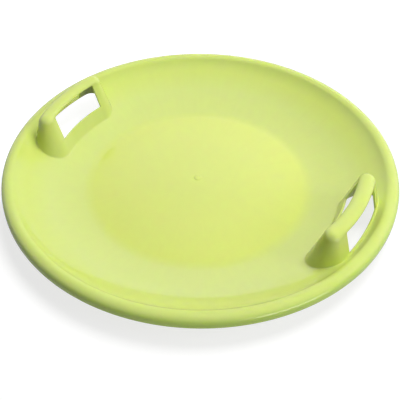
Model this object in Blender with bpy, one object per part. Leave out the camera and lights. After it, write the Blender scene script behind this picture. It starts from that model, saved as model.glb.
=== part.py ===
"""Round plastic snow sled: a shallow turned saucer with a rolled rim and two arched hand grips.

Metres, +Z up. The running ring under the saucer rests on z = 0, and the grips stand on the X axis.
"""

import math

import bmesh
import bpy

# Saucer
OUTER_RADIUS = 0.300
WALL = 0.003
TURN_STEPS = 80

# Slope of the seat side (rise over run) at four radii, straight between them:
# a low dome in the middle, a soft crease, then a wall that steepens towards the rim.
DOME_EDGE_RADIUS = 0.164
WALL_START_RADIUS = 0.178
RIM_CORNER_RADIUS = 0.2778
DOME_EDGE_SLOPE = -0.124
WALL_START_SLOPE = 0.10
WALL_END_SLOPE = 0.67
DOME_RADII = (0.045, 0.090, 0.130)
WALL_RADII = (0.194, 0.212, 0.230, 0.248, 0.264)

# Gate mark, the small nub left in the middle where the plastic went into the mould
GATE_RADIUS = 0.0062
GATE_HEIGHT = 0.0009

# Running ring, the flat on the underside of the crease
RING_HALF_WIDTH = 0.0055

# Rolled rim: half an ellipse on top, a straight skirt on the outside
RIM_HALF_WIDTH = 0.0110
RIM_ARC_HEIGHT = 0.0108
RIM_TOP = 0.0505
RIM_ARC_STEPS = 9
RIM_CORNER_GAP = 0.001
RIM_ARC_START_DEG = 166
SKIRT_BOTTOM = 0.034

# Hand grip, drafted like a mould core: radii of its two long sides at the shoulder, and how
# much they spread for each metre further down
GRIP_SHOULDER = 0.075
GRIP_TOP = 0.082
GRIP_INNER_RADIUS = 0.2388
GRIP_OUTER_RADIUS = 0.2616
INNER_DRAFT = 0.34
OUTER_DRAFT = 0.265
GRIP_HALF_LENGTH = 0.0600
GRIP_FOOT = 0.004
SIDE_STEPS = 12
END_STEPS = 9
CROWN_STEPS = 4
CROWN_INSET = 0.93

# Hand opening through both long sides of a grip
OPENING_HALF_LENGTH = 0.0500
OPENING_TOP = 0.0751
INNER_LIP_TOP = 0.0353
OUTER_LIP_TOP = 0.0395
LIP_INNER_X = 0.2253
LIP_OUTER_X = 0.2710
OPENING_REACH = 0.045

# Clearance that keeps neighbouring solids apart
GAP = 0.0003

LIME = (0.66, 0.78, 0.16, 1.0)
ROUGHNESS = 0.35


def clear_scene():
    for obj in list(bpy.data.objects):
        bpy.data.objects.remove(obj, do_unlink=True)


def plastic(name):
    material = bpy.data.materials.new(name)
    material.use_nodes = True
    shader = material.node_tree.nodes["Principled BSDF"]
    shader.inputs["Base Color"].default_value = LIME
    shader.inputs["Roughness"].default_value = ROUGHNESS
    return material


def add_object(name, bm, material=None):
    """Makes an object of the bmesh. Without a material it is a helper that isn't rendered."""
    bmesh.ops.recalc_face_normals(bm, faces=bm.faces)
    mesh = bpy.data.meshes.new(name)
    bm.to_mesh(mesh)
    bm.free()
    obj = bpy.data.objects.new(name, mesh)
    bpy.context.scene.collection.objects.link(obj)
    if material:
        mesh.materials.append(material)
    else:
        obj.hide_render = True
        obj.display_type = "WIRE"
    return obj


def cut(obj, cutter, label):
    modifier = obj.modifiers.new(label, "BOOLEAN")
    modifier.operation = "DIFFERENCE"
    modifier.solver = "EXACT"
    modifier.object = cutter


def slope_part(radius, r0, r1, s0, s1):
    """Rise between r0 and the radius, where the slope goes straight from s0 at r0 to s1 at r1."""
    run = min(max(radius, r0), r1) - r0
    return s0 * run + (s1 - s0) * run * run / (2 * (r1 - r0))


def seat_height(radius):
    """Height of the seat side of the saucer. Its lowest circle is one wall above the ground."""
    def rise(r):
        dome = slope_part(r, 0, DOME_EDGE_RADIUS, 0, DOME_EDGE_SLOPE)
        crease = slope_part(
            r, DOME_EDGE_RADIUS, WALL_START_RADIUS, DOME_EDGE_SLOPE, WALL_START_SLOPE
        )
        wall = slope_part(
            r, WALL_START_RADIUS, RIM_CORNER_RADIUS, WALL_START_SLOPE, WALL_END_SLOPE
        )
        return dome + crease + wall

    crease_radius = DOME_EDGE_RADIUS + (WALL_START_RADIUS - DOME_EDGE_RADIUS) * (
        DOME_EDGE_SLOPE / (DOME_EDGE_SLOPE - WALL_START_SLOPE)
    )
    return WALL + rise(radius) - rise(crease_radius)


def crease_middle():
    return (DOME_EDGE_RADIUS + WALL_START_RADIUS) / 2


def seat_side():
    """Points (radius, height) of the seat side, from the middle over the rim to the skirt."""
    nub_top = seat_height(0) + GATE_HEIGHT
    points = [(0.0, nub_top), (GATE_RADIUS / 2, nub_top)]
    radii = (GATE_RADIUS,) + DOME_RADII + (DOME_EDGE_RADIUS, crease_middle(), WALL_START_RADIUS)
    radii += WALL_RADII + (RIM_CORNER_RADIUS - RIM_CORNER_GAP,)
    points += [(r, seat_height(r)) for r in radii]
    rim_middle = OUTER_RADIUS - RIM_HALF_WIDTH
    arc_level = RIM_TOP - RIM_ARC_HEIGHT
    for step in range(RIM_ARC_STEPS + 1):
        angle = math.radians(RIM_ARC_START_DEG * (1 - step / RIM_ARC_STEPS))
        points.append(
            (
                rim_middle + RIM_HALF_WIDTH * math.cos(angle),
                arc_level + RIM_ARC_HEIGHT * math.sin(angle),
            )
        )
    points.append((OUTER_RADIUS, SKIRT_BOTTOM))
    return points


def offset_inwards(points, distance):
    """The same polyline moved square to itself, to the underside."""
    moved = []
    for i, (r, z) in enumerate(points):
        r0, z0 = points[max(i - 1, 0)]
        r1, z1 = points[min(i + 1, len(points) - 1)]
        length = math.hypot(r1 - r0, z1 - z0)
        moved.append((r + (z1 - z0) / length * distance, z - (r1 - r0) / length * distance))
    return moved


def underside():
    """Points of the underside, from the middle outwards, with the flat running ring."""
    points = [p for p in offset_inwards(seat_side(), WALL) if p[0] > GATE_RADIUS + WALL]
    points = [(0.0, seat_height(0) - WALL)] + points
    points[-1] = (OUTER_RADIUS - WALL, SKIRT_BOTTOM)
    ring = crease_middle()
    ring_edges = [(ring - RING_HALF_WIDTH, 0.0), (ring + RING_HALF_WIDTH, 0.0)]
    inside = [p for p in points if p[0] < ring - RING_HALF_WIDTH]
    outside = [p for p in points if p[0] > ring + RING_HALF_WIDTH]
    return inside + ring_edges + outside


def turned(name, profile, material=None):
    """Turns a profile about Z. It starts and ends on the axis, and runs over the outer side."""
    bm = bmesh.new()
    rings = []
    for radius, height in profile:
        if radius == 0:
            rings.append([bm.verts.new((0, 0, height))])
            continue
        ring = []
        for step in range(TURN_STEPS):
            angle = 2 * math.pi * step / TURN_STEPS
            ring.append(bm.verts.new((radius * math.cos(angle), radius * math.sin(angle), height)))
        rings.append(ring)
    for upper, lower in zip(rings, rings[1:]):
        for step in range(TURN_STEPS):
            after = (step + 1) % TURN_STEPS
            if len(upper) == 1:
                bm.faces.new((upper[0], lower[step], lower[after]))
            elif len(lower) == 1:
                bm.faces.new((upper[step], lower[0], upper[after]))
            else:
                bm.faces.new((upper[step], lower[step], lower[after], upper[after]))
    return add_object(name, bm, material)


def grip_outline(height, inset):
    """Plan outline of a grip at one height: two arcs about the saucer's axis with round ends."""
    below = GRIP_SHOULDER - min(height, GRIP_SHOULDER)
    inner = GRIP_INNER_RADIUS - INNER_DRAFT * below + inset
    outer = GRIP_OUTER_RADIUS + OUTER_DRAFT * below - inset
    middle = (inner + outer) / 2
    half_width = (outer - inner) / 2
    half_angle = GRIP_HALF_LENGTH / middle
    points = []
    for step in range(SIDE_STEPS + 1):
        angle = half_angle * (2 * step / SIDE_STEPS - 1)
        points.append((outer * math.cos(angle), outer * math.sin(angle)))
    for step in range(1, END_STEPS):
        angle = half_angle + math.pi * step / END_STEPS
        points.append(
            (
                middle * math.cos(half_angle) + half_width * math.cos(angle),
                middle * math.sin(half_angle) + half_width * math.sin(angle),
            )
        )
    for step in range(SIDE_STEPS + 1):
        angle = half_angle * (1 - 2 * step / SIDE_STEPS)
        points.append((inner * math.cos(angle), inner * math.sin(angle)))
    for step in range(1, END_STEPS):
        angle = math.pi - half_angle + math.pi * step / END_STEPS
        points.append(
            (
                middle * math.cos(half_angle) + half_width * math.cos(angle),
                -middle * math.sin(half_angle) + half_width * math.sin(angle),
            )
        )
    return points


def grip_levels(inset, foot, rounded_to):
    """Outlines (height, points) from the foot up the drafted sides and over the crown."""
    levels = [(foot, grip_outline(foot, inset))]
    levels.append((GRIP_SHOULDER, grip_outline(GRIP_SHOULDER, inset)))
    half_width = (GRIP_OUTER_RADIUS - GRIP_INNER_RADIUS) / 2 - inset
    for step in range(1, CROWN_STEPS + 1):
        angle = math.pi / 2 * step / CROWN_STEPS
        height = GRIP_SHOULDER + (rounded_to - GRIP_SHOULDER) * math.sin(angle)
        crown_inset = inset + half_width * CROWN_INSET * (1 - math.cos(angle))
        levels.append((height, grip_outline(GRIP_SHOULDER, crown_inset)))
    return levels


def lofted(name, levels, turn, material=None):
    """A closed solid through level outlines, turned about Z."""
    bm = bmesh.new()
    rings = []
    for height, outline in levels:
        ring = []
        for x, y in outline:
            turned_x = x * math.cos(turn) - y * math.sin(turn)
            turned_y = x * math.sin(turn) + y * math.cos(turn)
            ring.append(bm.verts.new((turned_x, turned_y, height)))
        rings.append(ring)
    count = len(rings[0])
    for lower, upper in zip(rings, rings[1:]):
        for i in range(count):
            j = (i + 1) % count
            bm.faces.new((lower[i], lower[j], upper[j], upper[i]))
    bm.faces.new(list(reversed(rings[0])))
    bm.faces.new(rings[-1])
    return add_object(name, bm, material)


def opening_cutter(name, turn):
    """Block for the hand opening. Its floor slopes from the low inner lip to the high outer one."""
    lip_slope = (OUTER_LIP_TOP - INNER_LIP_TOP) / (LIP_OUTER_X - LIP_INNER_X)
    near_x = LIP_INNER_X - OPENING_REACH
    far_x = LIP_OUTER_X + OPENING_REACH
    near_floor = INNER_LIP_TOP - lip_slope * OPENING_REACH
    far_floor = OUTER_LIP_TOP + lip_slope * OPENING_REACH
    section = [(near_x, near_floor), (far_x, far_floor), (far_x, OPENING_TOP), (near_x, OPENING_TOP)]
    bm = bmesh.new()
    ends = []
    for y in (-OPENING_HALF_LENGTH, OPENING_HALF_LENGTH):
        ring = []
        for x, z in section:
            turned_x = x * math.cos(turn) - y * math.sin(turn)
            turned_y = x * math.sin(turn) + y * math.cos(turn)
            ring.append(bm.verts.new((turned_x, turned_y, z)))
        ends.append(ring)
    bm.faces.new(ends[0])
    bm.faces.new(list(reversed(ends[1])))
    for i in range(4):
        j = (i + 1) % 4
        bm.faces.new((ends[0][i], ends[1][i], ends[1][j], ends[0][j]))
    return add_object(name, bm)


def smooth(obj):
    obj.data.shade_smooth()
    obj.data.set_sharp_from_angle(angle=math.radians(35))


def make_saucer():
    """The dish with its rolled rim, and a slot through it under each grip."""
    profile = seat_side() + list(reversed(underside()))
    saucer = turned("saucer", profile, plastic("saucer_plastic"))
    for name, turn in GRIPS:
        slot = lofted(name + "_slot", slot_levels(), turn)
        cut(saucer, slot, "slot under " + name)
    smooth(saucer)


def slot_levels():
    """The outer surface of a grip's foot, one gap wider, as a plug."""
    return [
        (-0.010, grip_outline(-0.010, -GAP)),
        (GRIP_SHOULDER, grip_outline(GRIP_SHOULDER, -GAP)),
    ]


def make_grip(name, turn, ground):
    """One hollow arched grip, open underneath and through both long sides."""
    grip = lofted(name, grip_levels(0, GRIP_FOOT, GRIP_TOP), turn, plastic(name + "_plastic"))
    hollow = lofted(name + "_hollow", grip_levels(WALL, -0.010, GRIP_TOP - WALL), turn)
    opening = opening_cutter(name + "_opening", turn)
    cut(grip, hollow, "hollow")
    cut(grip, opening, "hand opening")
    cut(grip, ground, "foot flush with the underside")
    smooth(grip)


def below_saucer():
    """Everything under the saucer out to its rim, which trims the feet of the grips."""
    under = [p for p in underside() if p[0] < RIM_CORNER_RADIUS]
    edge = under[-1]
    outer = (OUTER_RADIUS, edge[1] + WALL_END_SLOPE * (OUTER_RADIUS - edge[0]))
    profile = under + [outer, (OUTER_RADIUS, -0.030), (0.0, -0.030)]
    return turned("below_saucer", profile)


GRIPS = (("handle_right", 0.0), ("handle_left", math.pi))

clear_scene()
make_saucer()
trim = below_saucer()
for grip_name, grip_turn in GRIPS:
    make_grip(grip_name, grip_turn, trim)
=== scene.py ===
# %% [markdown]
# # A saucer sled, moulded in lime polyethylene
# The real sled is one injection moulding: a shallow round dish with a low dome in its middle,
# a wall that steepens towards a rolled rim, and two hollow arched hand grips that stand inside
# the rim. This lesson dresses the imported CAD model. The CAD has the right sizes but plain, faceted
# solids with a seam at the foot of each grip, so each of its three solids is replaced by a finer
# mesh that flows from dish to grip in one fillet, as the plastic does.
#
# The order is: load the frame, take the sizes, turn the saucer, loft the grips, cut the slots,
# mix the plastic, and set up the studio.

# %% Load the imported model
import math

import bmesh
import bpy
import numpy as np
from mathutils import Matrix, Vector


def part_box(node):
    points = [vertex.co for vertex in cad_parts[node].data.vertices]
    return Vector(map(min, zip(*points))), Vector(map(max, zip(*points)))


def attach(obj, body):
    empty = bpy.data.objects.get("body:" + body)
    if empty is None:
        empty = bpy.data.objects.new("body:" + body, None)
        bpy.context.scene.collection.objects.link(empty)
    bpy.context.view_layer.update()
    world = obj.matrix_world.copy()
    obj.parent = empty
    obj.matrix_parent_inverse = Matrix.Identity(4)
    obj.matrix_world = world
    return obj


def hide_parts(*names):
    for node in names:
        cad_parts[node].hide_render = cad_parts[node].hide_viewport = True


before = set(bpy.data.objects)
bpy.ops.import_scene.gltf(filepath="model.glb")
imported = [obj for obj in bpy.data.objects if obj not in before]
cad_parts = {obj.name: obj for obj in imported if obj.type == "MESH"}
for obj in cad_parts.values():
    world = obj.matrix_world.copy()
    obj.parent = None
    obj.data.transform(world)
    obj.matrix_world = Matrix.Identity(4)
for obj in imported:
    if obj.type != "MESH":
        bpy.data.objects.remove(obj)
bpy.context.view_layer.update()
print("CAD nodes:", ", ".join(sorted(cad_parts)))

# %% [markdown]
# The CAD nodes give the outer sizes. The rest are the few numbers that a mould maker would put on
# the drawing: the slope of the seat at a few radii, the rim's section, the grips' draft and the
# size of the hand openings. All are in metres.

# %% Driving sizes
saucer_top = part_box("saucer")[1]
OUTER_RADIUS = saucer_top.x
RIM_TOP = saucer_top.z
GRIP_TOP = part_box("handle_right")[1].z
WALL = 0.003

DOME_EDGE_RADIUS = 0.164  # the dome ends here and the crease begins
WALL_START_RADIUS = 0.178  # the crease ends here and the wall begins
RIM_CORNER_RADIUS = 0.2778  # the wall would end here in a sharp corner with the rim
DOME_EDGE_SLOPE = -0.124  # rise for each metre outwards, at the three radii
WALL_START_SLOPE = 0.10
WALL_END_SLOPE = 0.67

GATE_RADIUS = 0.0062
GATE_HEIGHT = 0.0014

RING_HALF_WIDTH = 0.0055  # of the flat ring that the sled rests on
RING_BLEND = 0.004

RIM_HALF_WIDTH = 0.0110  # of the rolled rim, from its top to its outermost point
RIM_ARC_HEIGHT = 0.0108
RIM_FILLET_START = 0.263  # the hollow between wall and rim begins here
RIM_ROLL_START = math.radians(141)  # and ends here on the roll, whose top is at 90 degrees
SKIRT_BOTTOM = 0.034
print(f"sled {2000 * OUTER_RADIUS:.0f} mm across, rim {1000 * RIM_TOP:.1f} mm high")

# %% [markdown]
# ## The turned saucer
# A mould for a round dish is cut on a lathe, so the dish is drawn as one half section and turned.
# The seat's height comes from its slope, which is level in the middle. Between the middle and the
# three given radii the slope changes evenly, which gives a surface with no kink in it, so light
# slides over the crease as it does on the real one.

# %% Height of the seat
def slope_part(radius, r0, r1, s0, s1):
    """Rise between r0 and the radius, where the slope goes straight from s0 at r0 to s1 at r1."""
    run = np.clip(radius, r0, r1) - r0
    return s0 * run + (s1 - s0) * run * run / (2 * (r1 - r0))


def rise(radius):
    dome = slope_part(radius, 0, DOME_EDGE_RADIUS, 0, DOME_EDGE_SLOPE)
    crease = slope_part(
        radius, DOME_EDGE_RADIUS, WALL_START_RADIUS, DOME_EDGE_SLOPE, WALL_START_SLOPE
    )
    wall = slope_part(
        radius, WALL_START_RADIUS, RIM_CORNER_RADIUS, WALL_START_SLOPE, WALL_END_SLOPE
    )
    return dome + crease + wall


LOWEST_RADIUS = DOME_EDGE_RADIUS + (WALL_START_RADIUS - DOME_EDGE_RADIUS) * (
    DOME_EDGE_SLOPE / (DOME_EDGE_SLOPE - WALL_START_SLOPE)
)


def seat_height(radius):
    """Height of the seat side. Its lowest circle, the crease, is one wall above the ground."""
    return WALL + rise(radius) - rise(LOWEST_RADIUS)


print(f"seat: middle {1000 * seat_height(0.0):.1f} mm, rim corner "
      f"{1000 * seat_height(RIM_CORNER_RADIUS):.1f} mm high")

# %% [markdown]
# The half section runs from the middle, over the seat, round the rim, down the skirt, round its
# thin bottom edge and back along the underside. The gate mark in the middle is the stub where the
# melt entered the mould: a low button about as wide as a fingertip. The rim's roll is part of an
# ellipse, and a soft hollow joins it to the wall. The underside lies one wall below the seat, and
# is pressed flat to the ground in a ring under the crease, on which the sled rests.

# %% Seat side of the half section
SEAT_STRIPS = (
    # from radius, to radius, points; they stand closest at the gate mark and at the crease
    (0.000, 2 * GATE_RADIUS, 25),
    (0.018, 0.156, 24),
    (0.160, 0.186, 14),
    (0.190, RIM_FILLET_START, 25),
)
FILLET_POINTS = 12
ROLL_POINTS = 24


def gate_bump(radius):
    """Raised cosine button in the middle of the seat."""
    inside = np.clip(radius / GATE_RADIUS, 0, 1)
    return GATE_HEIGHT * (0.5 + 0.5 * np.cos(math.pi * inside ** 4))


def rim_point(angle):
    """Point (radius, height) on the rolled rim; 0 is its outermost point and pi/2 its top."""
    return (
        OUTER_RADIUS - RIM_HALF_WIDTH + RIM_HALF_WIDTH * math.cos(angle),
        RIM_TOP - RIM_ARC_HEIGHT + RIM_ARC_HEIGHT * math.sin(angle),
    )


def tangent_blend(first, first_slope, last, last_slope):
    """Smooth curve from one point to another that leaves and arrives at the given slopes."""
    (x0, z0), (x1, z1) = first, last
    x = (z1 - z0 + first_slope * x0 - last_slope * x1) / (first_slope - last_slope)
    corner = np.array([x, z0 + first_slope * (x - x0)])
    t = np.linspace(0, 1, FILLET_POINTS)[:, None]
    return (1 - t) ** 2 * np.array(first) + 2 * t * (1 - t) * corner + t * t * np.array(last)


def seat_side():
    """Seat side of the section, from the middle to the bottom of the skirt, as (radius, height)."""
    flat = np.concatenate([np.linspace(*strip) for strip in SEAT_STRIPS])
    seat = np.stack([flat, seat_height(flat) + gate_bump(flat)], axis=1)
    roll = np.array([rim_point(angle) for angle in np.linspace(RIM_ROLL_START, 0, ROLL_POINTS)])
    wall_slope = (seat[-1] - seat[-2])[1] / (seat[-1] - seat[-2])[0]
    roll_slope = -RIM_ARC_HEIGHT / (RIM_HALF_WIDTH * math.tan(RIM_ROLL_START))
    fillet = tangent_blend(seat[-1], wall_slope, roll[0], roll_slope)
    skirt = np.array([(OUTER_RADIUS, SKIRT_BOTTOM + WALL / 2)])
    return np.concatenate([seat, fillet[1:-1], roll, skirt])


print("seat side:", len(seat_side()), "points")

# %% Skirt edge, underside and the whole half section
UNDERSIDE_START = 3 * GATE_RADIUS
EDGE_POINTS = 9


def smooth_share(value):
    """0 below 0, 1 above 1, and an even S between them."""
    share = np.clip(value, 0, 1)
    return share * share * (3 - 2 * share)


def moved_inwards(line, distance):
    """The same line moved square to itself, towards the underside."""
    ahead = np.gradient(line, axis=0)
    ahead /= np.linalg.norm(ahead, axis=1)[:, None]
    return line + distance * np.stack([ahead[:, 1], -ahead[:, 0]], axis=1)


def underside(top):
    """One wall below the seat side, without the gate mark, and flat under the crease."""
    under = moved_inwards(top, WALL)
    under[-1] = (OUTER_RADIUS - WALL, SKIRT_BOTTOM + WALL / 2)
    under = under[under[:, 0] > UNDERSIDE_START]
    ring = (DOME_EDGE_RADIUS + WALL_START_RADIUS) / 2
    under[:, 1] *= smooth_share((np.abs(under[:, 0] - ring) - RING_HALF_WIDTH) / RING_BLEND)
    return under


def skirt_edge():
    """Round bottom edge of the skirt, from its outside to its inside."""
    half = WALL / 2
    return [
        (OUTER_RADIUS - half + half * math.cos(a), SKIRT_BOTTOM + half + half * math.sin(a))
        for a in np.linspace(0, -math.pi, EDGE_POINTS)[1:-1]
    ]


def saucer_section():
    top = seat_side()
    centre = [(0.0, seat_height(0.0) - WALL)]
    return np.concatenate([top, skirt_edge(), underside(top)[::-1], centre])


section = saucer_section()
print(f"half section: {len(section)} points")

# %% [markdown]
# ## Turning it with Geometry Nodes
# The half section is the object's own mesh: a chain of points in the XZ plane. The node tree lays a
# grid with one row of points for each step of the turn, sends every grid point to its place on the
# section, turns it about Z by its step, and welds the seam and the two poles. The number of steps
# is an input, so the same tree can show a coarse or a fine turning. A helper adds each node.

# %% One helper for every node
def add_node(tree, kind, settings=(), inputs=()):
    """Adds a node. Settings are its properties; inputs are values, or the sockets that feed it."""
    made = tree.nodes.new(kind)
    for name, value in dict(settings).items():
        setattr(made, name, value)
    for name, value in dict(inputs).items():
        if isinstance(value, bpy.types.NodeSocket):
            tree.links.new(value, made.inputs[name])
        else:
            made.inputs[name].default_value = value
    return made


# %% The tree that turns a section
WELD_DISTANCE = 0.00001


def turning_tree():
    tree = bpy.data.node_groups.new("turn_a_section", "GeometryNodeTree")
    tree.interface.new_socket("Section", in_out="INPUT", socket_type="NodeSocketGeometry")
    tree.interface.new_socket("Steps", in_out="INPUT", socket_type="NodeSocketInt")
    tree.interface.new_socket("Plastic", in_out="INPUT", socket_type="NodeSocketMaterial")
    tree.interface.new_socket("Turned", in_out="OUTPUT", socket_type="NodeSocketGeometry")
    given = tree.nodes.new("NodeGroupInput").outputs
    size = add_node(
        tree, "GeometryNodeAttributeDomainSize", {"component": "MESH"},
        {"Geometry": given["Section"]})
    points = size.outputs["Point Count"]
    rows = add_node(
        tree, "FunctionNodeIntegerMath", {"operation": "ADD"}, {0: given["Steps"], 1: 1})
    grid = add_node(
        tree, "GeometryNodeMeshGrid", {},
        {"Vertices X": rows.outputs[0], "Vertices Y": points})
    index = add_node(tree, "GeometryNodeInputIndex").outputs[0]
    step = add_node(
        tree, "FunctionNodeIntegerMath", {"operation": "DIVIDE_FLOOR"}, {0: index, 1: points})
    along = add_node(
        tree, "FunctionNodeIntegerMath", {"operation": "MODULO"}, {0: index, 1: points})
    place = add_node(
        tree, "GeometryNodeSampleIndex", {"data_type": "FLOAT_VECTOR", "domain": "POINT"},
        {"Geometry": given["Section"],
         "Value": add_node(tree, "GeometryNodeInputPosition").outputs[0],
         "Index": along.outputs[0]})
    share = add_node(
        tree, "ShaderNodeMath", {"operation": "DIVIDE"}, {0: step.outputs[0], 1: given["Steps"]})
    angle = add_node(
        tree, "ShaderNodeMath", {"operation": "MULTIPLY"}, {0: share.outputs[0], 1: math.tau})
    turned = add_node(
        tree, "ShaderNodeVectorRotate", {"rotation_type": "Z_AXIS"},
        {"Vector": place.outputs["Value"], "Angle": angle.outputs[0]})
    placed = add_node(
        tree, "GeometryNodeSetPosition", {},
        {"Geometry": grid.outputs["Mesh"], "Position": turned.outputs[0]})
    welded = add_node(
        tree, "GeometryNodeMergeByDistance", {},
        {"Geometry": placed.outputs[0], "Distance": WELD_DISTANCE})
    real = add_node(
        tree, "GeometryNodeRealizeInstances", {}, {"Geometry": welded.outputs[0]})
    painted = add_node(
        tree, "GeometryNodeSetMaterial", {},
        {"Geometry": real.outputs[0], "Material": given["Plastic"]})
    add_node(tree, "NodeGroupOutput", {}, {"Turned": painted.outputs[0]})
    return tree


turn = turning_tree()
print("turning tree:", len(turn.nodes), "nodes")

# %% [markdown]
# The result is turned into a plain mesh straight away, so that nothing later depends on the
# modifier. The signed volume of a closed mesh is positive when its faces point outwards, and that
# is tested, because a section drawn the wrong way round would turn the dish inside out.

# %% Turn the saucer
plastic = bpy.data.materials.new("moulded_polyethylene")  # its nodes are added further down
TURN_STEPS = 288


def mesh_object(name, mesh):
    obj = bpy.data.objects.new(name, mesh)
    bpy.context.scene.collection.objects.link(obj)
    return obj


def evaluated_copy(obj):
    """The object's mesh as its modifiers make it."""
    graph = bpy.context.evaluated_depsgraph_get()
    return bpy.data.meshes.new_from_object(obj.evaluated_get(graph))


def volume_of(mesh):
    bm = bmesh.new()
    bm.from_mesh(mesh)
    volume = bm.calc_volume(signed=True)
    bm.free()
    return volume


def make_saucer():
    chain = bpy.data.meshes.new("saucer_section")
    count = len(section)
    chain.from_pydata(
        [(r, 0, z) for r, z in section], [(i, i + 1) for i in range(count - 1)], [])
    source = mesh_object("saucer_section", chain)
    modifier = source.modifiers.new("turn", "NODES")
    modifier.node_group = turn
    sockets = {item.name: item.identifier for item in turn.interface.items_tree}
    modifier[sockets["Steps"]] = TURN_STEPS
    modifier[sockets["Plastic"]] = plastic
    mesh = evaluated_copy(source)
    bpy.data.objects.remove(source)
    if volume_of(mesh) < 0:
        mesh.flip_normals()
    return mesh_object("saucer_moulding", mesh)


saucer = make_saucer()
print(f"saucer: {len(saucer.data.polygons)} faces, {1e6 * volume_of(saucer.data):.0f} cm3")

# %% [markdown]
# ## The hand grips
# Each grip is a hollow arch that grows out of the dish. Its sides lean in like any mould core, its
# crown is rounded, and a window through both long sides leaves a bar to hold. The plastic has one
# wall all over, so the grip is built as one open skin, and Solidify then gives it its wall: the
# inside of the fillets and the hollow under the bar come out as they do in the mould.
#
# The skin is a grid of columns round the grip and rows from the dish to the crown. The columns
# are placed so that one of them lies exactly on each upright edge of the window.

# %% Sizes of a grip
GRIP_SHOULDER = 0.075  # height where the leaning sides end and the crown begins
GRIP_INNER_RADIUS = 0.2388  # of the seat side, at the shoulder
GRIP_OUTER_RADIUS = 0.2616  # of the side next to the rim, at the shoulder
INNER_DRAFT = 0.34  # how far a side leans out for each metre down
OUTER_DRAFT = 0.265
GRIP_HALF_LENGTH = 0.0600  # along the grip to the centre of a round end, at ground height
END_GAIN = 0.0022  # how much longer that is at the shoulder
CROWN_INSET = 0.93  # share of the half width that the crown closes in by
END_DROP = 0.0055  # how far the shoulder sinks at the ends, where the crown rounds off
END_DROP_START = 0.0515  # from the middle of the grip: just beyond the window
END_DROP_RUN = 0.0150

WINDOW_HALF_LENGTH = 0.0500
INNER_LIP_HEIGHT = 0.0353  # lower edge of the window, on the seat side
OUTER_LIP_HEIGHT = 0.0400  # and next to the rim

WINDOW_COLUMNS = 28
JAMB_COLUMNS = 2
END_COLUMNS = 20
LOW_ROWS = 13
HIGH_ROWS = 12
CROWN_ROWS = 7

SIDE_COLUMNS = WINDOW_COLUMNS + 2 * JAMB_COLUMNS + 1
INNER_START = SIDE_COLUMNS + END_COLUMNS - 1
NEAR_END_START = INNER_START + SIDE_COLUMNS
print(f"grip: {1000 * GRIP_TOP:.0f} mm high, window {2000 * WINDOW_HALF_LENGTH:.0f} mm long")


# %% Plan outline of a grip
def side_radii(height):
    """Radii of the seat side and of the rim side of a grip at one height."""
    below = GRIP_SHOULDER - min(height, GRIP_SHOULDER)
    return GRIP_INNER_RADIUS - INNER_DRAFT * below, GRIP_OUTER_RADIUS + OUTER_DRAFT * below


def compass(angle):
    """Unit vectors in the plan at the given angles from the X axis."""
    return np.stack([np.cos(angle), np.sin(angle)], axis=1)


def side_line(radius, half_angle, facing):
    """Points along one long side, and the direction out of the grip at each."""
    jamb = math.asin(WINDOW_HALF_LENGTH / radius)
    window = np.linspace(-WINDOW_HALF_LENGTH, WINDOW_HALF_LENGTH, WINDOW_COLUMNS + 1)
    out = compass(np.concatenate([
        np.linspace(-half_angle, -jamb, JAMB_COLUMNS, endpoint=False),
        np.arcsin(window / radius),
        np.linspace(jamb, half_angle, JAMB_COLUMNS + 1)[1:],
    ]))
    return radius * out, facing * out


def end_line(middle, half_width, half_angle, sign):
    """Points round one end, without its two corners, and the direction out at each."""
    turn_by = np.linspace(0, math.pi, END_COLUMNS + 1)[1:-1]
    out = compass(sign * half_angle + (turn_by if sign > 0 else math.pi + turn_by))
    centre = middle * np.array([math.cos(half_angle), sign * math.sin(half_angle)])
    return centre + half_width * out, out


def outline(height, inset=0.0):
    """Plan outline of a grip at one height: outer side, far end, inner side, near end."""
    inner, outer = side_radii(height)
    inner, outer = inner + inset, outer - inset
    middle, half_width = (inner + outer) / 2, (outer - inner) / 2
    share = min(height, GRIP_SHOULDER) / GRIP_SHOULDER
    half_angle = (GRIP_HALF_LENGTH + END_GAIN * share) / middle
    outer_side, outer_out = side_line(outer, half_angle, 1)
    inner_side, inner_out = side_line(inner, half_angle, -1)
    far_end, far_out = end_line(middle, half_width, half_angle, 1)
    near_end, near_out = end_line(middle, half_width, half_angle, -1)
    points = np.concatenate([outer_side, far_end, inner_side[::-1], near_end])
    normals = np.concatenate([outer_out, far_out, inner_out[::-1], near_out])
    return points, normals


def shoulder_heights():
    """Height of the shoulder at each column. It sinks where the ends round off."""
    beyond = (np.abs(outline(GRIP_SHOULDER)[0][:, 1]) - END_DROP_START) / END_DROP_RUN
    return GRIP_SHOULDER - END_DROP * smooth_share(beyond)


shoulders = shoulder_heights()
print("columns round a grip:", len(shoulders))

# %% [markdown]
# Where the side of the grip meets the dish there is a fillet. In the upright plane through each
# column, the side is a straight line and the dish a slightly hollow one. A ball that touches both
# rolls round the foot of the grip. It is largest on the seat side, where fingers pass, and smallest
# in the narrow groove next to the rim. Its centre is found by sliding it up along the side until
# its distance to the dish equals its radius.

# %% Fillet between a grip and the dish
FILLET_MEAN = 0.0016
FILLET_SWING = 0.0003  # more on the seat side, and less next to the rim
ARC_POINTS = 25
STEP_UP = 0.001  # height over which a side's lean is measured
SEARCH_RUN = 0.030  # length of dish, and of side, that is searched for the ball's place
SEARCH_POINTS = 301
HALVINGS = 40


def last_where(low, high, still):
    """Last value between low and high for which still(value) holds, by halving the span."""
    for _ in range(HALVINGS):
        middle = (low + high) / 2
        if still(middle):
            low = middle
        else:
            high = middle
    return low


def foot_of(column):
    """Height at which a column of the side meets the dish."""
    return last_where(0.0, GRIP_SHOULDER, lambda height: (
        height < seat_height(np.linalg.norm(outline(height)[0][column]))))


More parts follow.
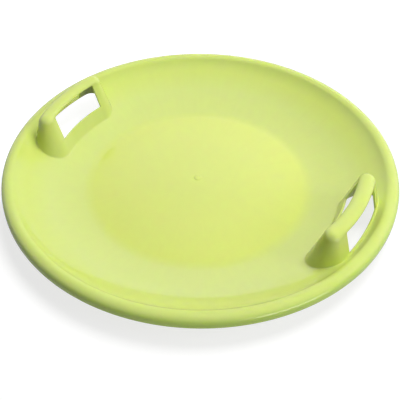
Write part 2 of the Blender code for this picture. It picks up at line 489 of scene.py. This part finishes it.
def rolled_ball(foot, lean, ball, run, dish):
    """Centre of the ball, and where it touches the dish and the side.

    All are (distance out, height) in the upright plane of a column. The side starts at distance 0
    and height foot, and run and dish are the distances and heights of the dish.
    """
    up = np.array([-lean, 1.0]) / math.hypot(lean, 1)
    off = np.array([1.0, lean]) / math.hypot(lean, 1)
    start = np.array([0.0, foot])

    def to_dish(slide):
        x, z = start + slide * up + ball * off
        return np.hypot(run - x, dish - z)

    slide = last_where(0.0, SEARCH_RUN, lambda slide: to_dish(slide).min() < ball)
    nearest = to_dish(slide).argmin()
    touch_side = start + slide * up
    return touch_side + ball * off, np.array([run[nearest], dish[nearest]]), touch_side


def arc_between(centre, ball, start, end):
    """Points on the ball's outline, from its touch on the dish to its touch on the side."""
    first = math.atan2(*(start - centre)[::-1])
    last = math.atan2(*(end - centre)[::-1])
    if last > 0:
        last -= math.tau
    return centre + ball * compass(np.linspace(first, last, ARC_POINTS))


print("foot of the first column at", round(1000 * foot_of(0), 1), "mm")

# %% [markdown]
# A column of the skin starts on the dish, a little outside the fillet, in an apron that lies on
# the seat. The apron lets the smoothing step end flush with the dish. Next to the rim it is cut
# short, so that it stays out of the rim's corner. After the fillet the column goes straight up the
# side, to the shoulder.

# %% One column of the skin
APRON = 0.0025
APRON_LIMIT = 0.2768  # radius that it may reach
APRON_PLACES = np.array([1.0, 0.5])  # of its rows, as shares of its width
APRON_ROWS = len(APRON_PLACES)
FACES_RIM = 0.3  # a column faces the rim where its outward direction points out by more than this
STRAIGHT_POINTS = 20


def column_path(column):
    """Points (x, y, z) up one column: over the dish, round the fillet and up to the shoulder."""
    foot = foot_of(column)
    points, normals = outline(foot)
    base, out = points[column], normals[column]
    lean = (base - outline(foot + STEP_UP)[0][column]) @ out / STEP_UP
    rimwards = out @ base / np.linalg.norm(base)
    ball = FILLET_MEAN - FILLET_SWING * rimwards

    run = np.linspace(0, SEARCH_RUN, SEARCH_POINTS)
    dish = seat_height(np.linalg.norm(base + run[:, None] * out, axis=1))
    centre, touch_dish, touch_side = rolled_ball(foot, lean, ball, run, dish)
    arc = arc_between(centre, ball, touch_dish, touch_side)

    room = APRON_LIMIT - np.linalg.norm(base + touch_dish[0] * out)
    reach = min(APRON, room) if rimwards > FACES_RIM else APRON
    path = []
    for distance in touch_dish[0] + reach * APRON_PLACES:
        x, y = base + distance * out
        path.append((x, y, seat_height(math.hypot(x, y))))
    for i, (distance, height) in enumerate(arc):
        x, y = outline(height)[0][column] + (distance + lean * (height - foot)) * out
        on_dish = seat_height(math.hypot(x, y))
        lift = max(on_dish - height, 0) if i else on_dish - height
        path.append((x, y, height + (1 - i / (ARC_POINTS - 1)) ** 4 * lift))
    for height in np.linspace(touch_side[1], shoulders[column], STRAIGHT_POINTS)[1:]:
        x, y = outline(height)[0][column]
        path.append((x, y, height))
    return np.array(path)


trial = column_path(0)
print(f"first column: {len(trial)} points, {1000 * trial[0][2]:.1f} mm high where it starts")

# %% [markdown]
# Rows are spread along each column so that one row falls exactly on the window's lower edge and
# one on the shoulder, where the bar's crown begins. The rows beside an edge keep a small distance
# from it, which leaves room to round that edge later. The crown is a quarter ellipse in section,
# closed along the middle of the bar by a strip of faces.

# %% Rows of the skin
EDGE_ROOM = 0.0016  # between the lip's row and the rows beside it
LIP_HEIGHTS = (INNER_LIP_HEIGHT, OUTER_LIP_HEIGHT)
LIP_RADII = (side_radii(INNER_LIP_HEIGHT)[0], side_radii(OUTER_LIP_HEIGHT)[1])
LIP_ROW = APRON_ROWS + LOW_ROWS
SHOULDER_ROW = LIP_ROW + HIGH_ROWS


def lip_height(x, y):
    """Height of the window's lower edge. In the window it changes straight across the grip."""
    beside = np.minimum(np.abs(y), WINDOW_HALF_LENGTH)
    return np.interp(np.sqrt(x * x + y * y - beside * beside), LIP_RADII, LIP_HEIGHTS)


def resample(path):
    """The path at the grid's rows: apron, fillet, side up to the lip, then on to the shoulder."""
    step = np.linalg.norm(np.diff(path, axis=0), axis=1)
    length = np.concatenate([[0], np.cumsum(step)])
    lip = lip_height(path[:, 0], path[:, 1])
    under = np.nonzero(path[:, 2] < lip)[0][-1]
    here, there = lip[under] - path[under, 2], lip[under + 1] - path[under + 1, 2]
    at_lip = length[under] + (length[under + 1] - length[under]) * here / (here - there)
    low = np.linspace(length[APRON_ROWS], at_lip - EDGE_ROOM, LOW_ROWS)
    high = np.linspace(at_lip + EDGE_ROOM, length[-1], HIGH_ROWS)
    places = np.concatenate([length[:APRON_ROWS], low, [at_lip], high])
    return np.stack([np.interp(places, length, path[:, i]) for i in range(3)], axis=1)


def crown_rows():
    rows = []
    for angle in np.linspace(0, math.pi / 2, CROWN_ROWS + 1)[1:]:
        row = []
        for column, shoulder in enumerate(shoulders):
            inner, outer = side_radii(shoulder)
            inset = (outer - inner) / 2 * CROWN_INSET * (1 - math.cos(angle))
            height = shoulder + (GRIP_TOP - shoulder) * math.sin(angle)
            row.append((*outline(shoulder, inset)[0][column], height))
        rows.append(np.array(row))
    return rows


column_count = len(shoulders)
columns = np.array([resample(column_path(c)) for c in range(column_count)])
rows = list(columns.transpose(1, 0, 2)) + crown_rows()
print(f"grip skin: {column_count} columns by {len(rows)} rows")

# %% [markdown]
# The faces of the window are simply left out of the grid. A Subdivision Surface step evens the
# skin, Solidify gives it the wall, and a small bevel takes the sharp corner off every cut edge of
# the windows, which is what makes a moulded edge catch the light.

# %% Skin of one grip
def is_window(column, row):
    """True for a face of the grid, by its lower left corner, that lies in the hand opening."""
    outer_side = JAMB_COLUMNS <= column < JAMB_COLUMNS + WINDOW_COLUMNS
    inner_side = JAMB_COLUMNS <= column - INNER_START < JAMB_COLUMNS + WINDOW_COLUMNS
    return (outer_side or inner_side) and LIP_ROW <= row < SHOULDER_ROW


def close_crown(bm, top):
    """Joins the outer and the inner half of the top row by a strip along the grip's middle."""
    half = END_COLUMNS // 2
    near, far = top[NEAR_END_START:], top[SIDE_COLUMNS:INNER_START]
    inner = top[INNER_START:NEAR_END_START]
    left = near[half - 1:] + top[:SIDE_COLUMNS] + far[:half]
    right = near[:half][::-1] + inner[::-1] + far[half - 1:][::-1]
    for i in range(len(left) - 1):
        corners = [left[i], left[i + 1], right[i + 1], right[i]]
        bm.faces.new(list(dict.fromkeys(corners)))


def grip_skin(turn_by):
    """Open skin of a grip, turned about Z, with its window."""
    bm = bmesh.new()
    spin = Matrix.Rotation(turn_by, 3, "Z")
    grid = [[bm.verts.new(spin @ Vector(point)) for point in row] for row in rows]
    for row in range(len(grid) - 1):
        for column in range(column_count):
            after = (column + 1) % column_count
            if not is_window(column, row):
                bm.faces.new((grid[row][column], grid[row][after],
                              grid[row + 1][after], grid[row + 1][column]))
    close_crown(bm, grid[-1])
    bmesh.ops.recalc_face_normals(bm, faces=bm.faces)
    highest = max(bm.faces, key=lambda face: face.calc_center_median().z)
    if highest.normal.z < 0:
        bmesh.ops.reverse_faces(bm, faces=bm.faces)
    mesh = bpy.data.meshes.new("grip_skin")
    bm.to_mesh(mesh)
    bm.free()
    return mesh


left_out = sum(is_window(c, r) for c in range(column_count) for r in range(len(rows)))
print("faces left out for the window:", left_out)

# %% Round the cut edges
EDGE_RADIUS = 0.0004


def linked_groups(faces):
    """Splits faces into groups that hang together."""
    left, groups = set(faces), []
    while left:
        group, queue = [], [left.pop()]
        while queue:
            face = queue.pop()
            group.append(face)
            beside = {f for edge in face.edges for f in edge.link_faces} & left
            left -= beside
            queue.extend(beside)
        groups.append(group)
    return groups


def round_window_edges(mesh):
    """Bevels both sides of each cut face of the windows, and leaves the grip's foot as it is.

    The cut faces have material index 1. Those of the windows reach up to the shoulder.
    """
    bm = bmesh.new()
    bm.from_mesh(mesh)
    cut_faces = [face for face in bm.faces if face.material_index == 1]
    edges = []
    for group in linked_groups(cut_faces):
        if max(v.co.z for face in group for v in face.verts) > GRIP_SHOULDER - 2 * WALL:
            inside = set(group)
            edges += [edge for face in group for edge in face.edges
                      if any(f not in inside for f in edge.link_faces)]
    bmesh.ops.bevel(
        bm, geom=edges, offset=EDGE_RADIUS, segments=2, profile=0.5, affect="EDGES")
    for face in bm.faces:
        face.material_index = 0
        face.smooth = True
    bm.to_mesh(mesh)
    bm.free()


# %% Build both grips
def foot_loop(mesh):
    """Points of the skin's lowest open edge, in order round the grip."""
    bm = bmesh.new()
    bm.from_mesh(mesh)
    vert = min((v for v in bm.verts if v.is_boundary), key=lambda v: v.co.z)
    loop, seen = [], set()
    while vert is not None:
        loop.append(vert.co.copy())
        seen.add(vert)
        beside = [e.other_vert(vert) for e in vert.link_edges if e.is_boundary]
        vert = next((v for v in beside if v not in seen), None)
    bm.free()
    return loop


def make_grip(name, turn_by):
    """Returns the finished grip, and the loop of points round its foot."""
    obj = mesh_object(name, grip_skin(turn_by))
    obj.data.materials.append(plastic)
    obj.data.materials.append(plastic)  # the same again marks the faces that Solidify cuts
    even = obj.modifiers.new("even", "SUBSURF")
    even.levels = even.render_levels = 1
    foot = foot_loop(evaluated_copy(obj))
    wall = obj.modifiers.new("wall", "SOLIDIFY")
    wall.thickness = WALL
    wall.offset = -1
    wall.use_even_offset = True
    wall.material_offset_rim = 1
    mesh = evaluated_copy(obj)
    obj.modifiers.clear()
    obj.data = mesh
    round_window_edges(mesh)
    mesh.materials.pop()
    return obj, foot


grips, feet = [], []
for name, turn_by in (("grip_right_moulding", 0.0), ("grip_left_moulding", math.pi)):
    grip, foot = make_grip(name, turn_by)
    grips.append(grip)
    feet.append(foot)
    print(f"{name}: {len(grip.data.polygons)} faces, {1e6 * volume_of(grip.data):.1f} cm3")

# %% [markdown]
# ## Opening the dish under the grips
# The dish has no floor under a grip: the mould's core comes up through it. A plug is made from the
# loop round each grip's foot, square to the dish, and is cut out of the saucer. The two cut faces
# then meet under the smooth seat, so there is no seam to see, and the slot is open from below.

# %% Cut the slots
PLUG_ABOVE = 0.010
PLUG_BELOW = 0.013
SLOPE_STEP = 0.0001


def dish_normal(point):
    """Direction square to the seat at a point."""
    radius = math.hypot(point.x, point.y)
    higher, lower = seat_height(radius + SLOPE_STEP), seat_height(radius - SLOPE_STEP)
    slope = (higher - lower) / (2 * SLOPE_STEP)
    return Vector((-slope * point.x / radius, -slope * point.y / radius, 1)).normalized()


def make_plug(foot):
    """Closed body that stands on the loop, square to the dish, and reaches through it."""
    bm = bmesh.new()
    above = [bm.verts.new(p + PLUG_ABOVE * dish_normal(p)) for p in foot]
    below = [bm.verts.new(p - PLUG_BELOW * dish_normal(p)) for p in foot]
    count = len(foot)
    for i in range(count):
        after = (i + 1) % count
        bm.faces.new((above[i], above[after], below[after], below[i]))
    caps = [bm.faces.new(above), bm.faces.new(below)]
    bmesh.ops.triangulate(bm, faces=caps)
    bmesh.ops.recalc_face_normals(bm, faces=bm.faces)
    mesh = bpy.data.meshes.new("plug")
    bm.to_mesh(mesh)
    bm.free()
    return mesh_object("plug", mesh)


for foot in feet:
    plug = make_plug(foot)
    cut = saucer.modifiers.new("slot", "BOOLEAN")
    cut.operation = "DIFFERENCE"
    cut.solver = "EXACT"
    cut.object = plug
    mesh = evaluated_copy(saucer)
    saucer.modifiers.clear()
    saucer.data = mesh
    bpy.data.objects.remove(plug)
print(f"saucer with slots: {len(saucer.data.polygons)} faces, "
      f"{1e6 * volume_of(saucer.data):.0f} cm3")

# %% [markdown]
# Smooth shading with sharp edges only where the surface really turns keeps the cut faces crisp.
# Nothing on the sled moves, so each mesh rides on the one body, and takes its solid's place.

# %% Smooth the skins and replace the CAD solids
SHARP_ANGLE = math.radians(35)

for obj in [saucer] + grips:
    obj.data.shade_smooth()
    obj.data.set_sharp_from_angle(angle=SHARP_ANGLE)
    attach(obj, "root")
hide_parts("saucer")
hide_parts("handle_right")
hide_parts("handle_left")

# %% [markdown]
# ## The plastic
# The sled is one shot of polyethylene, coloured right through, so it has one material. It is
# glossy and a little translucent: light enters it, wanders for about a millimetre, furthest in
# green, and comes out beside, which is what the subsurface inputs do. In the photograph the middle
# disc, the ring round it and the wall differ a little in tint, and the skirt is greener, so a
# colour ramp follows the distance from the middle. The ramp is partly the plastic's own tint and
# partly painted light: the ring is paler and bluer and the upper wall yellower by how much white
# each mirrors, a painted reflection, and the skirt's greener, darker stop is painted shade. Melt
# runs outwards from the gate, and leaves very faint rays in the colour.
#
# A moulding is never quite even. Two bumps make its highlights wander: a grain of well under a
# millimetre from the mould's steel, and a slow swell of a few centimetres from shrinkage.

# %% Colours of the plastic
def colour(code):
    """Linear colour, with alpha, from an sRGB hex code."""
    parts = [int(code[i:i + 2], 16) / 255 for i in (1, 3, 5)]
    return tuple(p / 12.92 if p <= 0.04045 else ((p + 0.055) / 1.055) ** 2.4 for p in parts) + (1,)


WHITE = colour("#FFFFFF")
# Partly the plastic's own tint, partly painted light: the blue rises and falls with how much white a
# zone mirrors (painted reflection)
TINTS_WITH_PAINTED_LIGHT = (
    # radius from the middle, colour
    (0.000, "#D5DF81"),
    (0.100, "#D6DF7D"),
    (0.162, "#D4DE76"),
    (0.181, "#D1DC85"),
    (0.230, "#D0DC84"),
    (0.262, "#CFDC75"),
    (0.2955, "#CEDC7C"),
    # the skirt: painted shade, darker and greener than the plastic's own tint
    (0.300, "#C5DF66"),
)
RAY_TINT = "#FCFDF9"
print("seat tints:", len(TINTS_WITH_PAINTED_LIGHT))

# %% Short forms for the nodes used most
def noise(tree, place, scale, detail):
    """Value of a noise texture; a higher scale gives smaller spots."""
    return add_node(tree, "ShaderNodeTexNoise", {},
                    {"Vector": place, "Scale": scale, "Detail": detail}).outputs["Fac"]


def maths(tree, operation, *values):
    return add_node(tree, "ShaderNodeMath", {"operation": operation},
                    dict(enumerate(values))).outputs[0]


def vector_maths(tree, operation, *values):
    """A number for a length or a dot product, and else a vector."""
    made = add_node(tree, "ShaderNodeVectorMath", {"operation": operation},
                    dict(enumerate(values)))
    return made.outputs["Value" if operation in ("LENGTH", "DOT_PRODUCT") else "Vector"]


def map_range(tree, value, start, end, low=0.0, high=1.0):
    """The value, moved from the span start to end to the span low to high, and kept in it."""
    return add_node(tree, "ShaderNodeMapRange", {},
                    {"Value": value, "From Min": start, "From Max": end,
                     "To Min": low, "To Max": high}).outputs["Result"]


def mix_colours(tree, share, first, second, blend="MIX"):
    """The first colour at share 0, and the second, or their blend, at share 1."""
    return add_node(tree, "ShaderNodeMix", {"data_type": "RGBA", "blend_type": blend},
                    {0: share, 6: first, 7: second}).outputs[2]


def colour_ramp(tree, value, stops):
    """Colour that follows a value from 0 to 1, by a list of (value, colour)."""
    ramp = add_node(tree, "ShaderNodeValToRGB", {}, {"Fac": value})
    elements = ramp.color_ramp.elements
    for place, _ in stops[1:-1]:
        elements.new(place)
    for element, (place, shade) in zip(elements, stops):
        element.position = place
        element.color = shade
    return ramp.outputs["Color"]


# %% Tint of the plastic, with painted reflection and shade
RAY_SPREAD = 9.0  # how far apart neighbouring rays are read from the noise
RAY_SCALE = 4.0
RAYS_START = (0.01, 0.12)  # radii between which even clouds of colour turn into rays
CLOUD_SCALE = 12.0


def tint_with_painted_light(tree, place):
    """Colour by the distance from the middle, with painted reflection and shade in it, and faint
    rays outwards from the gate.
    """
    flat = vector_maths(tree, "MULTIPLY", place, (1, 1, 0))
    distance = vector_maths(tree, "LENGTH", flat)
    stops = [(radius / OUTER_RADIUS, colour(code)) for radius, code in TINTS_WITH_PAINTED_LIGHT]
    ramp_with_painted_light = colour_ramp(tree, maths(tree, "DIVIDE", distance, OUTER_RADIUS), stops)

    away = vector_maths(tree, "NORMALIZE", flat)
    ray_place = vector_maths(tree, "MULTIPLY_ADD", away, (RAY_SPREAD,) * 3, flat)
    rays = noise(tree, ray_place, RAY_SCALE, 3.0)
    clouds = noise(tree, place, CLOUD_SCALE, 2.0)
    pattern = add_node(tree, "ShaderNodeMix", {"data_type": "FLOAT"},
                       {0: map_range(tree, distance, *RAYS_START), 2: clouds, 3: rays}).outputs[0]
    streaks = mix_colours(tree, pattern, WHITE, colour(RAY_TINT))
    return mix_colours(tree, 1.0, ramp_with_painted_light, streaks, "MULTIPLY")


# %% Mix the plastic
BUMPS = (
    # noise scale, noise detail, strength, height in metres
    (1400.0, 2.0, 0.04, 0.00001),
    (18.0, 1.0, 0.20, 0.0003),
)
PATCH_SCALE = 40.0
PATCH_SPAN = (0.3, 0.7)  # values of the noise that give the least and the most roughness
ROUGHNESS = (0.05, 0.08)
PLASTIC_IOR = 1.54
SCATTER_REACH = (0.85, 1.0, 0.4)  # of red, green and blue light, as shares of the scale
SCATTER_SCALE = 0.0013


def uneven_normal(tree, place):
    """Normal with the grain, and the swell over it."""
    beneath = {}
    for scale, detail, strength, height in BUMPS:
        bump = add_node(tree, "ShaderNodeBump", {},
                        {"Strength": strength, "Distance": height,
                         "Height": noise(tree, place, scale, detail), **beneath})
        beneath = {"Normal": bump.outputs["Normal"]}
    return beneath["Normal"]


def mix_plastic(material):
    material.use_nodes = True
    tree = material.node_tree
    tree.nodes.clear()
    place = add_node(tree, "ShaderNodeTexCoord").outputs["Object"]
    patches = noise(tree, place, PATCH_SCALE, 3.0)
    surface = add_node(tree, "ShaderNodeBsdfPrincipled", {}, {
        "Base Color": tint_with_painted_light(tree, place),
        "Roughness": map_range(tree, patches, *PATCH_SPAN, *ROUGHNESS),
        "IOR": PLASTIC_IOR,
        "Subsurface Weight": 1.0,
        "Subsurface Radius": SCATTER_REACH,
        "Subsurface Scale": SCATTER_SCALE,
        "Normal": uneven_normal(tree, place),
    })
    add_node(tree, "ShaderNodeOutputMaterial", {}, {"Surface": surface.outputs[0]})


mix_plastic(plastic)
print("plastic nodes:", len(plastic.node_tree.nodes))

# %% [markdown]
# ## The studio
# The floor is a pale sheet that keeps the sled's soft shadow. To read as the white of the
# photograph it also glows where the camera sees it: a little more at the far left, as the photo
# is pure white through the left grip, and towards the horizon, where the lamps no longer reach.
# It glows in reflections as well, or the rim's outer edge would mirror a dark floor. The light
# that it throws back onto the sled is set apart, by a paler colour for diffuse rays.
#
# The sheet is clear from beneath, so that the hollow underside can be looked at too.

# %% Places in the studio
def direction(azimuth, elevation):
    """Unit vector towards a place on the studio's dome; azimuth 0 is in front, at -Y."""
    a, e = math.radians(azimuth), math.radians(elevation)
    return Vector((math.sin(a) * math.cos(e), -math.cos(a) * math.cos(e), math.sin(e)))


def towards(tree, place, azimuth, start, end):
    """Share from 0 to 1 by how far a place lies towards an azimuth, from start to end."""
    return map_range(
        tree, vector_maths(tree, "DOT_PRODUCT", place, direction(azimuth, 0)), start, end)


# %% Floor
FLOOR_HALF = 6.0
FLOOR_HEIGHT = -0.0003
FLOOR_COLOUR = "#909090"
FLOOR_MOTTLE = "#8E8E8E"
MOTTLE_SCALE = 3.0
FLOOR_BOUNCE = "#B8B8B8"
FLOOR_GLOW = 0.755
FAR_LEFT_GLOW = 0.93
HORIZON_GLOW = 1.0
MIRRORED_GLOW = 0.4
FAR_LEFT_AZIMUTH = 252
FAR_LEFT_SPAN = (0.15, 0.25)  # metres from the middle towards the far left
HORIZON_SPAN = (0.8, 2.0)  # metres from the middle all round


def floor_glow(tree, ray):
    """Strength of the floor's own light, by place and by the kind of ray that meets it."""
    place = add_node(tree, "ShaderNodeTexCoord").outputs["Object"]
    far_left = towards(tree, place, FAR_LEFT_AZIMUTH, *FAR_LEFT_SPAN)
    here = map_range(tree, far_left, 0.0, 1.0, FLOOR_GLOW, FAR_LEFT_GLOW)
    away = vector_maths(tree, "LENGTH", place)
    here = map_range(tree, away, *HORIZON_SPAN, here, HORIZON_GLOW)
    direct = maths(tree, "MULTIPLY", ray["Is Camera Ray"], here)
    return maths(tree, "MULTIPLY_ADD", ray["Is Glossy Ray"], MIRRORED_GLOW, direct)


def floor_material():
    material = bpy.data.materials.new("studio_sheet")
    material.use_nodes = True
    tree = material.node_tree
    tree.nodes.clear()
    ray = add_node(tree, "ShaderNodeLightPath").outputs
    spots = noise(tree, add_node(tree, "ShaderNodeTexCoord").outputs["Generated"],
                  MOTTLE_SCALE, 2.0)
    sheet = mix_colours(tree, spots, colour(FLOOR_COLOUR), colour(FLOOR_MOTTLE))
    sheet = mix_colours(tree, ray["Is Diffuse Ray"], sheet, colour(FLOOR_BOUNCE))
    matt = add_node(tree, "ShaderNodeBsdfDiffuse", {}, {"Color": sheet}).outputs[0]
    glow = add_node(tree, "ShaderNodeEmission", {}, {"Strength": floor_glow(tree, ray)})
    lit = add_node(tree, "ShaderNodeAddShader", {}, {0: matt, 1: glow.outputs[0]}).outputs[0]

    back = add_node(tree, "ShaderNodeNewGeometry").outputs["Backfacing"]
    passed = maths(tree, "GREATER_THAN", ray["Transparent Depth"], 0.5)
    beneath = maths(tree, "MAXIMUM", back, passed)
    clear = add_node(tree, "ShaderNodeBsdfTransparent").outputs[0]
    seen = add_node(tree, "ShaderNodeMixShader", {}, {0: beneath, 1: lit, 2: clear}).outputs[0]
    add_node(tree, "ShaderNodeOutputMaterial", {}, {"Surface": seen})
    return material


def make_floor():
    h, z = FLOOR_HALF, FLOOR_HEIGHT
    mesh = bpy.data.meshes.new("studio_floor")
    mesh.from_pydata([(-h, -h, z), (h, -h, z), (h, h, z), (-h, h, z)], [], [(0, 1, 2, 3)])
    mesh.materials.append(floor_material())
    return mesh_object("studio_floor", mesh)


floor = make_floor()
print("floor:", 2 * FLOOR_HALF, "m wide")

# %% [markdown]
# The light is soft and mostly from above and behind, as in a product studio. Five large panels
# stand above the floor. A sixth, under it, lights the hollow underside when that is looked at; from
# above, the floor keeps its light away. The panels aren't seen in reflections.
#
# The surround does three jobs, told apart by the kind of ray. Seen directly it is white. As a lamp
# it is nearly dark, so that the shadows keep their depth. In reflections its brightness changes
# with the height, and the table has a column for each part of it: the front, the backdrop behind
# the sled, and a narrow low strip at the right, whose reflection is the streak on the rim.

# %% Surround
SURROUND = (0.02, 0.02, 0.02, 1)
MIRRORED = (
    # height on the dome, 0 level and 1 straight up; brightness of the front, backdrop and strip
    (0.00, 0.40, 0.95, 8.00),
    (0.10, 0.45, 0.97, 8.00),
    (0.18, 0.48, 1.00, 0.50),
    (0.50, 0.80, 1.00, 0.90),
    (0.62, 0.80, 0.85, 0.90),
    (0.77, 0.52, 0.52, 0.60),
    (0.88, 0.62, 0.62, 0.62),
    (0.97, 0.88, 0.88, 0.88),
)
BACKDROP_AZIMUTH = 210
BACKDROP_SPAN = (-0.2, 0.2)  # how far towards the azimuth on a dome of radius 1, as the next
STRIP_AZIMUTH = 72
STRIP_SPAN = (0.90, 0.98)


def make_world():
    world = bpy.data.worlds.new("studio_surround")
    bpy.context.scene.world = world
    world.use_nodes = True
    tree = world.node_tree
    tree.nodes.clear()
    place = add_node(tree, "ShaderNodeTexCoord").outputs["Generated"]
    up = add_node(tree, "ShaderNodeSeparateXYZ", {}, {0: place}).outputs["Z"]
    front, backdrop, strip = (
        colour_ramp(tree, up, [(row[0], (row[side],) * 3 + (1,)) for row in MIRRORED])
        for side in (1, 2, 3)
    )
    behind = towards(tree, place, BACKDROP_AZIMUTH, *BACKDROP_SPAN)
    beside = towards(tree, place, STRIP_AZIMUTH, *STRIP_SPAN)
    mirrored = mix_colours(tree, beside, mix_colours(tree, behind, front, backdrop), strip)

    ray = add_node(tree, "ShaderNodeLightPath").outputs
    seen = maths(tree, "MAXIMUM", ray["Is Camera Ray"], ray["Is Glossy Ray"])
    seen = maths(tree, "MAXIMUM", seen, ray["Is Transmission Ray"])
    shown = mix_colours(tree, ray["Is Glossy Ray"], WHITE, mirrored)
    light = mix_colours(tree, seen, SURROUND, shown)
    sky = add_node(tree, "ShaderNodeBackground", {}, {"Color": light}).outputs[0]
    add_node(tree, "ShaderNodeOutputWorld", {}, {"Surface": sky})
    return world


print("surround nodes:", len(make_world().node_tree.nodes))

# %% Panels
PANEL_DISTANCE = 2.6
PANEL_SIZE = 1.4
PANELS = (
    # name, azimuth, elevation, power in watts
    ("top_panel", 145, 72, 61.0),
    ("back_panel", 210, 56, 10.0),
    ("right_panel", 90, 40, 18.0),
    ("low_right_panel", 75, 10, 8.0),
    ("front_panel", 30, 25, 3.0),
    ("under_panel", 0, -60, 40.0),
)


def make_panel(name, azimuth, elevation, power):
    light = bpy.data.lights.new(name, "AREA")
    light.shape = "DISK"
    light.size = PANEL_SIZE
    light.energy = power
    panel = bpy.data.objects.new(name, light)
    bpy.context.scene.collection.objects.link(panel)
    panel.location = PANEL_DISTANCE * direction(azimuth, elevation)
    panel.rotation_euler = direction(azimuth, elevation).to_track_quat("Z", "Y").to_euler()
    panel.visible_camera = False
    panel.visible_glossy = False


for panel in PANELS:
    make_panel(*panel)
print("panels:", len(PANELS))

# %% [markdown]
# ## The camera
# The angle, distance and lens come from fitting the rim's silhouette in the photograph. That
# picture is cut out of a wider one, off its middle, so the camera is turned a few degrees away
# from the sled and the frame is shifted back. It also rolls by less than half a degree.

# %% Camera
CAMERA_AZIMUTH = 29.84
CAMERA_ELEVATION = 43.18
CAMERA_DISTANCE = 1.16
CAMERA_TARGET = Vector((0, 0, 0.003))
CAMERA_YAW = 3.0
CAMERA_ROLL = 0.44
LENS = 66.25
SENSOR_WIDTH = 36
FRAME_SHIFT = (0.1025, -0.0439)


def make_camera():
    data = bpy.data.cameras.new("studio_camera")
    data.sensor_width = SENSOR_WIDTH
    data.lens = LENS
    data.shift_x, data.shift_y = FRAME_SHIFT
    camera = bpy.data.objects.new("studio_camera", data)
    bpy.context.scene.collection.objects.link(camera)
    back = direction(CAMERA_AZIMUTH, CAMERA_ELEVATION)
    look = back.to_track_quat("Z", "Y").to_matrix()
    turned = (look @ Matrix.Rotation(math.radians(CAMERA_YAW), 3, "Y")
              @ Matrix.Rotation(math.radians(CAMERA_ROLL), 3, "Z"))
    camera.matrix_world = Matrix.Translation(CAMERA_TARGET + CAMERA_DISTANCE * back) @ (
        turned.to_4x4())
    bpy.context.scene.camera = camera


make_camera()
bpy.context.scene.view_settings.view_transform = "Standard"
print(f"camera: {CAMERA_DISTANCE:.2f} m away, {LENS} mm lens")
